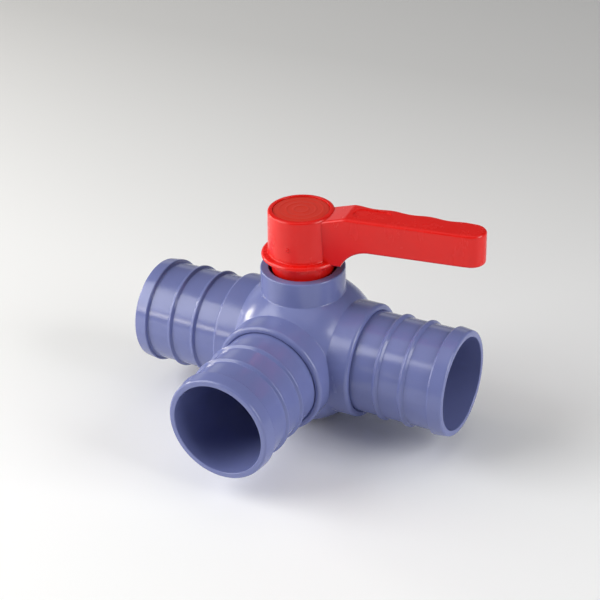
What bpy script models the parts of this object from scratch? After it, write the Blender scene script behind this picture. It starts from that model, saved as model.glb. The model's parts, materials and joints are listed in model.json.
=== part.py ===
"""Three way ball valve for 38 mm hose, modelled as its separate pieces.

The crossing of the three port axes and the stem axis is the centre of the ball. Every piece is
placed from there. The world origin is the centre of the footprint, on the surface that the body
stands on. Units are metres.
"""
from math import asin, cos, degrees, pi, radians, sin, sqrt

import bmesh
import bpy
from mathutils import Vector

# ---- driving dimensions ------------------------------------------------------------------------
FIT_GAP = 0.0003            # clearance kept between neighbouring pieces
ROUND_STEPS = 32            # facets round a large turned piece
SMALL_STEPS = 24            # facets round a small or hidden turned piece
PAST = 0.004                # how far a cutter runs past the face it opens
WELD_WITHIN = 0.00001       # vertices closer than this are one

BODY_RADIUS = 0.0279        # outside of the spherical middle
CAVITY_RADIUS = 0.0216      # inside of it, round the ball
COLLAR_RADIUS = 0.0208      # outside of each tail socket
COLLAR_END = 0.0274         # collar's end face, from the ball's centre
COLLAR_ROUNDING = 0.0014
SOCKET_DEPTH_AT = 0.0202    # where the socket stops, from the ball's centre
SOCKET_CHAMFER = 0.0007     # lead-in at the socket's mouth, which leaves a groove round the tail
PORT_RADIUS = 0.0126        # hole through the web between a socket and its seat

NECK_RADIUS = 0.0152
NECK_TOP = 0.0327
NECK_BORE_RADIUS = 0.0122
NECK_FLOOR = 0.0284
NECK_ROUNDING = 0.0005

TAIL_BORE_RADIUS = 0.0168
TAIL_RADIUS = 0.0184        # the plain barrel between the barbs
TAIL_END = 0.0622           # mouth, from the ball's centre
BARB_RADIUS = 0.01935
BARB_LAND = 0.0004           # half the width of a barb's crest
BARB_FOOT = 0.0011           # half the width of a barb at its foot
BARBS = (0.04685, 0.03705)   # their crests
NOSE_AT = 0.0568
NOSE_RADIUS = 0.0196
MOUTH_RADIUS = 0.0190
MOUTH_ROUNDING = 0.0009

BALL_RADIUS = 0.0210
BALL_PASSAGE_RADIUS = 0.0120
BALL_FLAT = 0.0196          # flat on top of the ball, under the stem
SLOT_FLOOR = 0.0168
SLOT_WIDTH = 0.0070

SEAT_INNER_RADIUS = 0.0123
SEAT_OUTER_RADIUS = 0.0149
SEAT_BACK = 0.0184
SEAT_RING_RADIUS = 0.0137   # centre line of the elastic ring behind the seat
SEAT_RING_SECTION = 0.00045
SEAT_GROOVE_HALF_WIDTH = 0.00075
SEAT_GROOVE_FLOOR = 0.0173

STEM_RADIUS = 0.0056
STEM_BORE_RADIUS = 0.0063
STEM_SHOULDER_RADIUS = 0.0079
STEM_SHOULDER_TOP = 0.0222
STEM_POCKET_RADIUS = 0.0084
STEM_POCKET_TOP = 0.0235
STEM_ROUND_TOP = 0.0315
STEM_SQUARE = 0.0080
STEM_TOP = 0.0445
STEM_GROOVES = (0.0247, 0.0272)
STEM_GROOVE_RADIUS = 0.0044
STEM_GROOVE_HALF_WIDTH = 0.0009
STEM_RING_RADIUS = 0.00535
STEM_RING_SECTION = 0.00065
TANG_WIDTH = 0.0064
TANG_LENGTH = 0.0150
TANG_BOTTOM = 0.0171
SCREW_HOLE_RADIUS = 0.0021

FLANGE_RADIUS = 0.0146
FLANGE_BOTTOM = 0.0374
FLANGE_TOP = 0.0389
HUB_RADIUS = 0.01175          # at its top
HUB_FOOT_RADIUS = 0.0122
HUB_TOP = 0.0549
HUB_EDGE = 0.0004
SKIRT_RADIUS = 0.0111
SKIRT_STEP = 0.0316           # below this the skirt is narrower, which leaves room for the stops
SKIRT_FOOT_RADIUS = 0.0103
SKIRT_BOTTOM = 0.0290
SKIRT_HOLLOW_RADIUS = 0.0083
SKIRT_HOLLOW_TOP = 0.0336
WELL_RADIUS = 0.0086        # deep well in the hub's top, round the screw
WELL_FLOOR = 0.0464
CAP_SEAT = 0.0532
CAP_SEAT_RADIUS = 0.0105
CAP_TOP = 0.0547
CAP_CLIP_WALL = 0.0010
CAP_CLIP_LENGTH = 0.0022

WASHER_RADIUS = 0.0047
WASHER_THICKNESS = 0.0008
SCREW_HEAD_RADIUS = 0.0039
SCREW_HEAD_HEIGHT = 0.0024
SCREW_HEAD_ROUNDING = 0.0010
SCREW_END = 0.0345
CROSS_HALF_LENGTH = 0.0022
CROSS_HALF_WIDTH = 0.0005
CROSS_DEPTH = 0.0013

LEVER_REACH = 0.0664        # tip, from the stem's axis
LEVER_ROOT_AT = 0.0150
LEVER_ROOT_HALF_WIDTH = 0.0065
LEVER_TIP_HALF_WIDTH = 0.00505
TIP_STEPS = 12
LEVER_TOP = 0.0564
LEVER_BOTTOM = 0.0442
LEVER_RAMP_START = 0.0100
LEVER_RAMP_LOW = 0.0542
LEVER_CREST = 0.0180
FOOT_ARC = 0.0115            # hollow under the lever's root, down to the flange
FOOT_ARC_AT = 0.0268
GRIP_DEPTH = 0.0008         # finger scallops along the lever's left edge
GRIP_PITCH = 0.0133
GRIP_FIRST_CREST = 0.0187
GRIP_COUNT = 3
GRIP_STEPS = 8              # straight pieces along one scallop
LEVER_WALL = 0.0022
LEVER_POCKETS = ((0.0245, 0.0375), (0.0393, 0.0505), (0.0523, 0.0632))

STOP_RIB = (54.0, 186.0)    # degrees round the neck, from +X towards +Y
STOP_LUG = (-82.0, -38.0)   # degrees round the skirt, from the lever's own direction
STOP_BOTTOM = 0.0293
STOP_TOP = 0.0312
STOP_OVERLAP = 0.0009       # how far a stop reaches into the wall that it is part of
STOP_FACET = 9              # degrees between the facets of a stop

REST_TURN = radians(7.0)    # the handle stands this far past the right tail's axis
TIP_EXTENT = (LEVER_REACH - LEVER_TIP_HALF_WIDTH) * cos(REST_TURN) + LEVER_TIP_HALF_WIDTH
BALL_CENTRE = Vector(((TAIL_END - TIP_EXTENT) / 2, (TAIL_END - BODY_RADIUS) / 2, BODY_RADIUS))

PORTS = {"right": 0.0, "left": pi, "front": -pi / 2}
SEATS = {**PORTS, "rear": pi / 2}


# ---- scene and materials -----------------------------------------------------------------------
def clear_scene():
    for old in list(bpy.data.objects):
        bpy.data.objects.remove(old, do_unlink=True)


def collection(name):
    group = bpy.data.collections.new(name)
    bpy.context.scene.collection.children.link(group)
    return group


def material(name, colour, roughness, metallic=0.0):
    made = bpy.data.materials.new(name)
    made.use_nodes = True
    shader = made.node_tree.nodes["Principled BSDF"]
    shader.inputs["Base Color"].default_value = (*colour, 1.0)
    shader.inputs["Roughness"].default_value = roughness
    shader.inputs["Metallic"].default_value = metallic
    return made


clear_scene()
PARTS = collection("three_way_valve")
CUTTERS = collection("three_way_valve_cutters")

BLUE_GREY_PVC = ((0.165, 0.190, 0.380), 0.32)
RED_PLASTIC = ((0.62, 0.022, 0.016), 0.33)
WHITE_PVC = ((0.72, 0.72, 0.70), 0.30)
SEAT_WHITE = ((0.82, 0.81, 0.77), 0.42)
BLACK_RUBBER = ((0.020, 0.020, 0.021), 0.62)
STAINLESS = ((0.56, 0.56, 0.55), 0.30, 1.0)


# ---- modelling helpers -------------------------------------------------------------------------
def add_object(name, mesh, finish=None):
    made = bpy.data.objects.new(name, mesh)
    if finish is None:
        CUTTERS.objects.link(made)
        made.hide_render = True
        made.display_type = "WIRE"
    else:
        PARTS.objects.link(made)
        mesh.materials.append(material(name, *finish))
    return made


def turned(name, profile, steps, finish=None, closed=True, half_step=False):
    """Spin a profile of (radius, height) points, which runs down its outer side, about Z.

    A cutter starts half a facet round, so that its corners miss those of the solid it cuts.
    """
    mesh = bpy.data.meshes.new(name)
    start = pi / steps if half_step else 0.0
    points = [(radius * cos(start), radius * sin(start), height) for radius, height in profile]
    edges = [(i, i + 1) for i in range(len(points) - 1)]
    if closed:
        edges.append((len(points) - 1, 0))
    mesh.from_pydata(points, edges, [])
    made = add_object(name, mesh, finish)
    screw = made.modifiers.new("spin", "SCREW")
    screw.steps = steps
    screw.render_steps = steps
    screw.use_merge_vertices = True
    screw.merge_threshold = WELD_WITHIN
    screw.use_smooth_shade = True
    return made


def round_cutter(name, profile, steps=ROUND_STEPS):
    return turned(name, profile, steps, closed=False, half_step=True)


def drill(name, radius, bottom, top, steps=ROUND_STEPS):
    return round_cutter(name, [(0.0, top), (radius, top), (radius, bottom), (0.0, bottom)], steps)


def ring(name, inner, outer, bottom, top, steps, finish=None):
    return turned(name, [(outer, top), (outer, bottom), (inner, bottom), (inner, top)], steps, finish)


def torus(name, radius, section, height, finish, steps=SMALL_STEPS, sides=5):
    turn = 2 * pi / sides
    profile = [(radius + section * cos(i * turn), height - section * sin(i * turn))
               for i in range(sides)]
    return turned(name, profile, steps, finish)


def ball_shape(name, radius, finish=None, segments=ROUND_STEPS, rings=ROUND_STEPS // 2):
    mesh = bpy.data.meshes.new(name)
    shape = bmesh.new()
    bmesh.ops.create_uvsphere(shape, u_segments=segments, v_segments=rings, radius=radius)
    shape.to_mesh(mesh)
    shape.free()
    mesh.shade_smooth()
    return add_object(name, mesh, finish)


def box(name, low, high, finish=None):
    mesh = bpy.data.meshes.new(name)
    shape = bmesh.new()
    bmesh.ops.create_cube(shape, size=1.0)
    size = Vector(high) - Vector(low)
    middle = (Vector(high) + Vector(low)) / 2
    bmesh.ops.scale(shape, vec=size, verts=shape.verts)
    bmesh.ops.translate(shape, vec=middle, verts=shape.verts)
    shape.to_mesh(mesh)
    shape.free()
    return add_object(name, mesh, finish)


def plate(name, outline, half_thickness, finish=None):
    """Extrude a flat outline to both sides of the XY plane, as a closed mesh."""
    curve = bpy.data.curves.new(name, "CURVE")
    curve.dimensions = "2D"
    curve.fill_mode = "BOTH"
    curve.extrude = half_thickness
    spline = curve.splines.new("POLY")
    spline.points.add(len(outline) - 1)
    for point, (x, y) in zip(spline.points, outline):
        point.co = (x, y, 0.0, 1.0)
    spline.use_cyclic_u = True
    drawn = bpy.data.objects.new(name + "_outline", curve)
    CUTTERS.objects.link(drawn)
    bpy.context.view_layer.update()
    mesh = bpy.data.meshes.new_from_object(drawn.evaluated_get(bpy.context.evaluated_depsgraph_get()))
    bpy.data.objects.remove(drawn, do_unlink=True)
    shape = bmesh.new()
    shape.from_mesh(mesh)
    bmesh.ops.remove_doubles(shape, verts=shape.verts, dist=WELD_WITHIN)
    bmesh.ops.recalc_face_normals(shape, faces=shape.faces)
    shape.to_mesh(mesh)
    shape.free()
    mesh.name = name
    return add_object(name, mesh, finish)


def ring_sector(name, inner, outer, start, end, bottom, top):
    """Part of a ring between two angles in degrees, for the stops."""
    steps = round((end - start) / STOP_FACET)
    angles = [radians(start + (end - start) * i / steps) for i in range(steps + 1)]
    outline = [(outer * cos(a), outer * sin(a)) for a in angles]
    outline += [(inner * cos(a), inner * sin(a)) for a in reversed(angles)]
    sector = plate(name, outline, (top - bottom) / 2)
    sector.location.z = (top + bottom) / 2
    return sector


def combine(target, operand, operation):
    step = target.modifiers.new(operand.name, "BOOLEAN")
    step.operation = operation
    step.solver = "EXACT"
    step.object = operand


def place(obj, owner):
    """Parent a piece or a cutter to the empty that carries it."""
    obj.parent = owner


def aim(obj, direction):
    """Lay a piece that was turned about Z along the port at this angle round the stem."""
    obj.rotation_euler = (0.0, pi / 2, direction)


def carrier(name, turn=0.0):
    empty = bpy.data.objects.new(name, None)
    PARTS.objects.link(empty)
    empty.location = BALL_CENTRE
    empty.rotation_euler = (0.0, 0.0, turn)
    return empty


def rounded_corner(centre, radius, start, end, steps=3):
    """Points on an arc, angles in degrees from the profile's outward direction."""
    x, z = centre
    angles = [radians(start + (end - start) * i / steps) for i in range(steps + 1)]
    return [(x + radius * cos(a), z + radius * sin(a)) for a in angles]


# ---- body --------------------------------------------------------------------------------------
def collar(name):
    corner = (COLLAR_RADIUS - COLLAR_ROUNDING, COLLAR_END - COLLAR_ROUNDING)
    profile = [(0.0, COLLAR_END)] + rounded_corner(corner, COLLAR_ROUNDING, 90, 0)
    profile += [(COLLAR_RADIUS, PORT_RADIUS), (0.0, PORT_RADIUS)]
    return turned(name, profile, ROUND_STEPS, closed=False)


def port_cutter(name):
    """Socket for the tail, the port through the web, and the pocket of the seat behind it."""
    pocket = SEAT_OUTER_RADIUS + FIT_GAP
    floor = SEAT_BACK + FIT_GAP
    socket = TAIL_RADIUS + FIT_GAP
    lead_in = socket + SOCKET_CHAMFER
    profile = [(0.0, COLLAR_END + PAST), (lead_in, COLLAR_END + PAST), (lead_in, COLLAR_END),
               (socket, COLLAR_END - 2 * SOCKET_CHAMFER), (socket, SOCKET_DEPTH_AT),
               (PORT_RADIUS, SOCKET_DEPTH_AT), (PORT_RADIUS, floor), (pocket, floor),
               (pocket, PORT_RADIUS), (0.0, PORT_RADIUS)]
    return round_cutter(name, profile)


def neck_solid():
    corner = (NECK_RADIUS - NECK_ROUNDING, NECK_TOP - NECK_ROUNDING)
    profile = [(0.0, NECK_TOP)] + rounded_corner(corner, NECK_ROUNDING, 90, 0, steps=2)
    profile += [(NECK_RADIUS, CAVITY_RADIUS), (0.0, CAVITY_RADIUS)]
    return turned("neck_solid", profile, ROUND_STEPS, closed=False)


def neck_cutter():
    profile = [(0.0, NECK_TOP + PAST), (NECK_BORE_RADIUS, NECK_TOP + PAST),
               (NECK_BORE_RADIUS, NECK_FLOOR), (STEM_BORE_RADIUS, NECK_FLOOR),
               (STEM_BORE_RADIUS, STEM_POCKET_TOP), (STEM_POCKET_RADIUS, STEM_POCKET_TOP),
               (STEM_POCKET_RADIUS, SEAT_OUTER_RADIUS), (0.0, SEAT_OUTER_RADIUS)]
    return round_cutter("neck_cutter", profile)


def make_body(owner):
    body = ball_shape("valve_body", BODY_RADIUS, BLUE_GREY_PVC)
    place(body, owner)
    for side, direction in PORTS.items():
        solid = collar("collar_" + side)
        aim(solid, direction)
        place(solid, owner)
        combine(body, solid, "UNION")
    neck = neck_solid()
    place(neck, owner)
    combine(body, neck, "UNION")
    cavity = ball_shape("cavity", CAVITY_RADIUS)
    place(cavity, owner)
    combine(body, cavity, "DIFFERENCE")
    for side, direction in PORTS.items():
        cutter = port_cutter("port_cutter_" + side)
        aim(cutter, direction)
        place(cutter, owner)
        combine(body, cutter, "DIFFERENCE")
    blind = drill("rear_seat_pocket", SEAT_OUTER_RADIUS + FIT_GAP, PORT_RADIUS, SEAT_BACK + FIT_GAP)
    aim(blind, SEATS["rear"])
    place(blind, owner)
    combine(body, blind, "DIFFERENCE")
    bore = neck_cutter()
    place(bore, owner)
    combine(body, bore, "DIFFERENCE")
    rib = ring_sector("stop_rib", SKIRT_FOOT_RADIUS + 2 * FIT_GAP, NECK_BORE_RADIUS + STOP_OVERLAP,
                      *STOP_RIB, NECK_FLOOR - STOP_OVERLAP, STOP_TOP)
    place(rib, owner)
    combine(body, rib, "UNION")


# ---- hose tails --------------------------------------------------------------------------------
def tail_profile():
    inner_end = SOCKET_DEPTH_AT + FIT_GAP
    corner = (MOUTH_RADIUS - MOUTH_ROUNDING, TAIL_END - MOUTH_ROUNDING)
    profile = [(TAIL_BORE_RADIUS, TAIL_END)] + rounded_corner(corner, MOUTH_ROUNDING, 90, 0, steps=2)
    profile += [(NOSE_RADIUS, NOSE_AT), (TAIL_RADIUS, NOSE_AT)]
    for crest in BARBS:
        profile += [(TAIL_RADIUS, crest + BARB_FOOT), (BARB_RADIUS, crest + BARB_LAND),
                    (BARB_RADIUS, crest - BARB_LAND), (TAIL_RADIUS, crest - BARB_FOOT)]
    return profile + [(TAIL_RADIUS, inner_end), (TAIL_BORE_RADIUS, inner_end)]


def make_tails(owner):
    for side, direction in PORTS.items():
        tail = turned("hose_tail_" + side, tail_profile(), ROUND_STEPS, BLUE_GREY_PVC)
        aim(tail, direction)
        place(tail, owner)


# ---- seats and seals ---------------------------------------------------------------------------
def seat_profile():
    """Ring section whose front face follows the ball, with a groove in its back."""
    face = BALL_RADIUS + FIT_GAP
    inner_front = sqrt(face ** 2 - SEAT_INNER_RADIUS ** 2)
    outer_front = sqrt(face ** 2 - SEAT_OUTER_RADIUS ** 2)
    groove_outer = SEAT_RING_RADIUS + SEAT_GROOVE_HALF_WIDTH
    groove_inner = SEAT_RING_RADIUS - SEAT_GROOVE_HALF_WIDTH
    return [(SEAT_OUTER_RADIUS, SEAT_BACK), (SEAT_OUTER_RADIUS, outer_front),
            (SEAT_INNER_RADIUS, inner_front), (SEAT_INNER_RADIUS, SEAT_BACK),
            (groove_inner, SEAT_BACK), (groove_inner, SEAT_GROOVE_FLOOR),
            (groove_outer, SEAT_GROOVE_FLOOR), (groove_outer, SEAT_BACK)]


def make_seats(owner):
    ring_at = (SEAT_GROOVE_FLOOR + SEAT_BACK + FIT_GAP) / 2
    for side, direction in SEATS.items():
        seat = turned("ball_seat_" + side, seat_profile(), SMALL_STEPS, SEAT_WHITE)
        seal = torus("seat_oring_" + side, SEAT_RING_RADIUS, SEAT_RING_SECTION, ring_at, BLACK_RUBBER)
        for piece in (seat, seal):
            aim(piece, direction)
            place(piece, owner)


def make_thrust_washer(owner):
    washer = ring("stem_thrust_washer", STEM_RADIUS + FIT_GAP, STEM_SHOULDER_RADIUS,
                  STEM_SHOULDER_TOP + FIT_GAP, STEM_POCKET_TOP - FIT_GAP, SMALL_STEPS, SEAT_WHITE)
    place(washer, owner)


# ---- ball and stem -----------------------------------------------------------------------------
def make_ball(owner):
    """Ball with two passages at a right angle: one under the lever, one to its right."""
    ball = ball_shape("ball", BALL_RADIUS, WHITE_PVC)
    place(ball, owner)
    elbow = ball_shape("passage_elbow", BALL_PASSAGE_RADIUS, segments=SMALL_STEPS, rings=SMALL_STEPS // 2)
    place(elbow, owner)
    combine(ball, elbow, "DIFFERENCE")
    for side in ("right", "front"):
        passage = drill("passage_" + side, BALL_PASSAGE_RADIUS, 0.0, BALL_RADIUS + PAST, SMALL_STEPS)
        aim(passage, PORTS[side])
        place(passage, owner)
        combine(ball, passage, "DIFFERENCE")
    top = box("ball_flat", (-BALL_RADIUS, -BALL_RADIUS, BALL_FLAT),
              (BALL_RADIUS, BALL_RADIUS, BALL_RADIUS + PAST))
    slot = box("ball_slot", (-BALL_RADIUS, -SLOT_WIDTH / 2, SLOT_FLOOR),
               (BALL_RADIUS, SLOT_WIDTH / 2, BALL_RADIUS + PAST))
    for cutter in (top, slot):
        place(cutter, owner)
        combine(ball, cutter, "DIFFERENCE")


def stem_profile():
    shoulder_bottom = BALL_FLAT + FIT_GAP
    profile = [(0.0, STEM_ROUND_TOP), (STEM_RADIUS, STEM_ROUND_TOP)]
    for height in reversed(STEM_GROOVES):
        upper = height + STEM_GROOVE_HALF_WIDTH
        lower = height - STEM_GROOVE_HALF_WIDTH
        profile += [(STEM_RADIUS, upper), (STEM_GROOVE_RADIUS, upper),
                    (STEM_GROOVE_RADIUS, lower), (STEM_RADIUS, lower)]
    return profile + [(STEM_RADIUS, STEM_SHOULDER_TOP), (STEM_SHOULDER_RADIUS, STEM_SHOULDER_TOP),
                      (STEM_SHOULDER_RADIUS, shoulder_bottom), (0.0, shoulder_bottom)]


def make_stem(owner):
    stem = turned("stem", stem_profile(), SMALL_STEPS, WHITE_PVC, closed=False)
    square = box("stem_square", (-STEM_SQUARE / 2, -STEM_SQUARE / 2, STEM_ROUND_TOP - PAST / 2),
                 (STEM_SQUARE / 2, STEM_SQUARE / 2, STEM_TOP))
    tang = box("stem_tang", (-TANG_LENGTH / 2, -TANG_WIDTH / 2, TANG_BOTTOM),
               (TANG_LENGTH / 2, TANG_WIDTH / 2, STEM_SHOULDER_TOP - FIT_GAP))
    hole = drill("stem_screw_hole", SCREW_HOLE_RADIUS, STEM_ROUND_TOP, STEM_TOP + PAST, SMALL_STEPS)
    place(stem, owner)
    for tool, operation in ((square, "UNION"), (tang, "UNION"), (hole, "DIFFERENCE")):
        place(tool, owner)
        combine(stem, tool, operation)
    for label, height in zip(("lower", "upper"), STEM_GROOVES):
        seal = torus("stem_oring_" + label, STEM_RING_RADIUS, STEM_RING_SECTION, height, BLACK_RUBBER)
        place(seal, owner)


# ---- handle ------------------------------------------------------------------------------------
def half_width(reach):
    share = (reach - LEVER_ROOT_AT) / (LEVER_REACH - LEVER_ROOT_AT)
    return LEVER_ROOT_HALF_WIDTH + share * (LEVER_TIP_HALF_WIDTH - LEVER_ROOT_HALF_WIDTH)


def grip_dip(reach):
    """Depth of the finger scallops at this reach, which is nothing at each crest."""
    return GRIP_DEPTH * (1 - cos(2 * pi * (reach - GRIP_FIRST_CREST) / GRIP_PITCH)) / 2


def lever_plan():
    """Outline from above: straight right edge, round tip, scalloped left edge."""
    tip = LEVER_TIP_HALF_WIDTH
    centre = LEVER_REACH - tip
    outline = [(0.0, -half_width(0.0))]
    outline += [(centre + x, y) for x, y in rounded_corner((0.0, 0.0), tip, -90, 90, TIP_STEPS)]
    steps = GRIP_COUNT * GRIP_STEPS
    for i in range(steps + 1):
        reach = GRIP_FIRST_CREST + GRIP_PITCH * (steps - i) / GRIP_STEPS
        outline.append((reach, half_width(reach) - grip_dip(reach)))
    outline.append((0.0, half_width(0.0)))
    return outline


def lever_side():
    """Outline from the side: foot on the flange, curved underside, and a ramp up from the hub."""
    root = HUB_RADIUS / 2
    past_tip = LEVER_REACH + PAST
    arc_centre = (FOOT_ARC_AT, LEVER_BOTTOM - FOOT_ARC)
    foot_angle = 180 - degrees(asin((FLANGE_BOTTOM - arc_centre[1]) / FOOT_ARC))
    outline = [(root, FLANGE_BOTTOM)]
    outline += rounded_corner(arc_centre, FOOT_ARC, foot_angle, 90, steps=8)
    outline += [(past_tip, LEVER_BOTTOM), (past_tip, LEVER_TOP), (LEVER_CREST, LEVER_TOP),
                (LEVER_RAMP_START, LEVER_RAMP_LOW), (root, LEVER_RAMP_LOW)]
    return outline


def make_lever(owner):
    """Bar of the handle: its side outline, trimmed to its outline from above."""
    lever = plate("lever", lever_side(), LEVER_ROOT_HALF_WIDTH + PAST)
    lever.rotation_euler = (pi / 2, 0.0, 0.0)
    trim = plate("lever_trim", lever_plan(), LEVER_TOP)
    place(lever, owner)
    place(trim, owner)
    combine(lever, trim, "INTERSECT")
    return lever


def hub_profile():
    corner = (HUB_RADIUS - HUB_EDGE, HUB_TOP - HUB_EDGE)
    profile = [(0.0, HUB_TOP)] + rounded_corner(corner, HUB_EDGE, 90, 0, steps=2)
    return profile + [(HUB_FOOT_RADIUS, FLANGE_TOP), (FLANGE_RADIUS, FLANGE_TOP),
                      (FLANGE_RADIUS, FLANGE_BOTTOM), (SKIRT_RADIUS, FLANGE_BOTTOM),
                      (SKIRT_RADIUS, SKIRT_STEP), (SKIRT_FOOT_RADIUS, SKIRT_STEP),
                      (SKIRT_FOOT_RADIUS, SKIRT_BOTTOM), (0.0, SKIRT_BOTTOM)]


def make_handle(owner):
    handle = turned("handle", hub_profile(), ROUND_STEPS, RED_PLASTIC, closed=False)
    place(handle, owner)
    lug = ring_sector("stop_lug", SKIRT_FOOT_RADIUS - STOP_OVERLAP, NECK_BORE_RADIUS - 1.5 * FIT_GAP,
                      *STOP_LUG, STOP_BOTTOM, SKIRT_STEP + FIT_GAP)
    place(lug, owner)
    for added in (make_lever(owner), lug):
        combine(handle, added, "UNION")
    socket = STEM_SQUARE / 2 + FIT_GAP
    hollow = [(0.0, HUB_TOP + PAST), (CAP_SEAT_RADIUS, HUB_TOP + PAST), (CAP_SEAT_RADIUS, CAP_SEAT),
              (WELL_RADIUS, CAP_SEAT), (WELL_RADIUS, WELL_FLOOR), (SCREW_HOLE_RADIUS, WELL_FLOOR),
              (SCREW_HOLE_RADIUS, STEM_TOP), (0.0, STEM_TOP)]
    cutters = [
        round_cutter("hub_well", hollow),
        drill("skirt_hollow", SKIRT_HOLLOW_RADIUS, SKIRT_BOTTOM - PAST, SKIRT_HOLLOW_TOP),
        box("hub_socket", (-socket, -socket, SKIRT_BOTTOM), (socket, socket, STEM_TOP + FIT_GAP)),
    ]
    for number, (start, end) in enumerate(LEVER_POCKETS, 1):
        inside = half_width(end) - LEVER_WALL
        cutters.append(box("lever_pocket_%d" % number, (start, -inside, LEVER_BOTTOM - PAST),
                           (end, inside - GRIP_DEPTH / 2, LEVER_TOP - LEVER_WALL)))
    for cutter in cutters:
        place(cutter, owner)
        combine(handle, cutter, "DIFFERENCE")


def make_handle_washer(owner):
    """Washer under the head of the screw."""
    washer_bottom = WELL_FLOOR + FIT_GAP
    washer_top = washer_bottom + WASHER_THICKNESS
    washer = ring("handle_washer", SCREW_HOLE_RADIUS, WASHER_RADIUS, washer_bottom, washer_top,
                  SMALL_STEPS, STAINLESS)
    place(washer, owner)


def make_handle_screw(owner):
    """Pan-head screw that holds the handle down on the stem."""
    head_bottom = WELL_FLOOR + 2 * FIT_GAP + WASHER_THICKNESS
    head_top = head_bottom + SCREW_HEAD_HEIGHT
    head_radius = SCREW_HEAD_RADIUS
    shank_radius = SCREW_HOLE_RADIUS - FIT_GAP
    corner = (head_radius - SCREW_HEAD_ROUNDING, head_top - SCREW_HEAD_ROUNDING)
    profile = [(0.0, head_top)] + rounded_corner(corner, SCREW_HEAD_ROUNDING, 90, 0)
    profile += [(head_radius, head_bottom), (shank_radius, head_bottom),
                (shank_radius, SCREW_END + shank_radius), (0.0, SCREW_END)]
    screw = turned("handle_screw", profile, SMALL_STEPS, STAINLESS, closed=False)
    place(screw, owner)
    for half_x, half_y in ((CROSS_HALF_LENGTH, CROSS_HALF_WIDTH), (CROSS_HALF_WIDTH, CROSS_HALF_LENGTH)):
        cutter = box("screw_cross", (-half_x, -half_y, head_top - CROSS_DEPTH),
                     (half_x, half_y, head_top + PAST))
        place(cutter, owner)
        combine(screw, cutter, "DIFFERENCE")


def make_handle_cap(owner):
    """Disc that covers the screw, with a ring below it that grips the well."""
    clip_outer = WELL_RADIUS - FIT_GAP
    clip_inner = clip_outer - CAP_CLIP_WALL
    bottom = CAP_SEAT + FIT_GAP
    clip_bottom = bottom - CAP_CLIP_LENGTH
    radius = CAP_SEAT_RADIUS - FIT_GAP
    profile = [(0.0, CAP_TOP), (radius, CAP_TOP), (radius, bottom), (clip_outer, bottom),
               (clip_outer, clip_bottom), (clip_inner, clip_bottom), (clip_inner, bottom),
               (0.0, bottom)]
    cap = turned("handle_cap", profile, ROUND_STEPS, RED_PLASTIC, closed=False)
    place(cap, owner)


# ---- assembly ----------------------------------------------------------------------------------
housing = carrier("housing_centre")
rotor = carrier("stem_axis", REST_TURN)
make_body(housing)
make_tails(housing)
make_seats(housing)
make_thrust_washer(housing)
make_ball(rotor)
make_stem(rotor)
make_handle(rotor)
make_handle_washer(rotor)
make_handle_screw(rotor)
make_handle_cap(rotor)
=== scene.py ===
"""Looks of a three way ball valve for 38 mm hose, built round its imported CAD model.

Each piece is a finer mesh of one CAD node, in the same place. Lengths are in metres. A piece is
made about its own axis, in its local Z, and then laid along a port or up the stem.
"""
import json
from math import acos, asin, atan2, cos, pi, radians, sin, sqrt, tan

import bmesh
import bpy
from mathutils import Euler, Matrix, Vector


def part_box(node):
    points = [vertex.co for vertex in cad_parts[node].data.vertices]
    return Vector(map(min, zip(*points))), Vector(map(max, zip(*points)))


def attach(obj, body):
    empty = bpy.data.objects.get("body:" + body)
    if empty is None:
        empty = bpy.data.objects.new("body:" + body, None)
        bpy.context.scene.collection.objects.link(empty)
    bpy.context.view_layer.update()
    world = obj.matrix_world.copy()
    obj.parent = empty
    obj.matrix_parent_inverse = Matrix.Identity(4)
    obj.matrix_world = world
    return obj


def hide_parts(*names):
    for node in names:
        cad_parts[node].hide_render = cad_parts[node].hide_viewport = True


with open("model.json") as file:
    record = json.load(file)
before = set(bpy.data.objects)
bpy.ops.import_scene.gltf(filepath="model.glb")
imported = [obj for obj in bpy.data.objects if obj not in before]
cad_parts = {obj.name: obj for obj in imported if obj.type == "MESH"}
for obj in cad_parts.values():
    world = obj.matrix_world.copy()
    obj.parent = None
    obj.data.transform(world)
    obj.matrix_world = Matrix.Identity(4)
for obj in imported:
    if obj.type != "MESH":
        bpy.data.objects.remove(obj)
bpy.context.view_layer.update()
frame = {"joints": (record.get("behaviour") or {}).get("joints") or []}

# ---- sizes -------------------------------------------------------------------------------------
MM = 0.001
TOUCHING = 0.0001 * MM              # vertices of a new mesh closer than this are one vertex
SPECK = 0.0002 * MM                 # the same for the vertices that a boolean leaves
PAST = 4 * MM                       # how far a cutter runs past the face it opens
FIT_GAP = 0.3 * MM
FINE_STEPS = 192                    # facets round the large pieces
SMALL_STEPS = 96
ARC_STEPS = 6                       # segments in a rounded corner
SPHERE_STEPS = 56                   # segments from pole to pole
SHARP_ANGLE = radians(32)           # edges that bend more than this stay sharp

CENTRE = Vector(frame["joints"][0]["pos_m"])    # where the port axes cross the stem's axis
REST_TURN = radians(7)              # the lever stands this far past the right tail's axis
BODY_RADIUS = CENTRE.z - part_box("valve_body")[0].z
NECK_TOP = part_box("valve_body")[1].z - CENTRE.z
TAIL_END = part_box("hose_tail_right")[1].x - CENTRE.x
NOSE_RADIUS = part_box("hose_tail_right")[1].z - CENTRE.z
LEVER_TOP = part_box("handle")[1].z - CENTRE.z
BALL_RADIUS = CENTRE.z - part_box("ball")[0].z

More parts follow.
